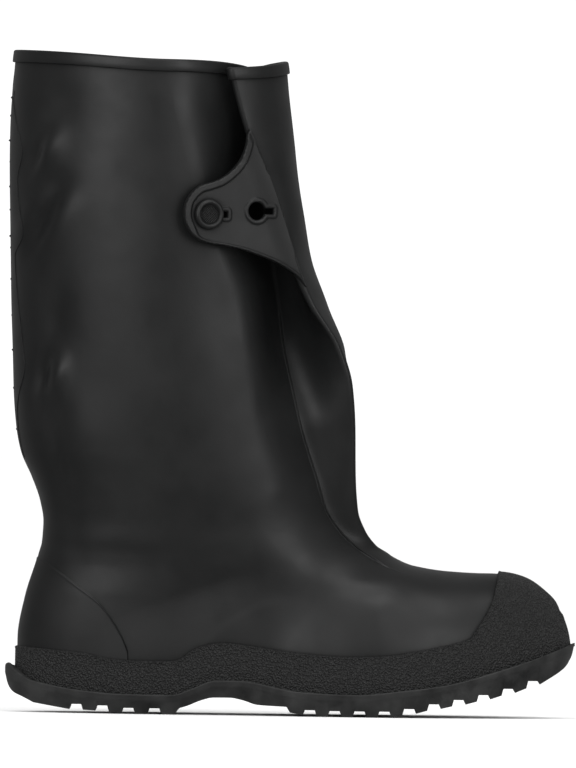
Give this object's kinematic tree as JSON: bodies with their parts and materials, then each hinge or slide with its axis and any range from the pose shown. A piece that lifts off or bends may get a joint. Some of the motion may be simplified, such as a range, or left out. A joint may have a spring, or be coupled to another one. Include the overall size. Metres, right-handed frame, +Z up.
{
  "type": "rubber overshoe",
  "caption": "Knee-high rubber overshoe for the right foot: hollow bellows-front upper on a cleated sole, with pebbled rand and toe cap, closed by a keyhole tab hooked over a stud.",
  "frame": {"origin": "on the floor, under the middle of the boot's bounding box", "axes": "+X from heel to toe, +Y to the medial (inner) side, +Z up the shaft"},
  "size_m": [0.3461, 0.124, 0.4007],
  "materials": {
    "upper_rubber": "satin black, faintly grained",
    "stud_rubber": "satin black with a knurled face",
    "pebbled_rubber": "matte black, pebbled",
    "sole_rubber": "matte black, smooth",
    "insole_rubber": "matte black"
  },
  "bodies": {
    "root": {"upper": "upper_rubber", "collar_band": "upper_rubber", "heel_counter": "upper_rubber", "closure_tab": "upper_rubber", "stud": "stud_rubber", "rand": "pebbled_rubber", "outsole": "sole_rubber", "insole": "insole_rubber"}
  },
  "joints": []
}
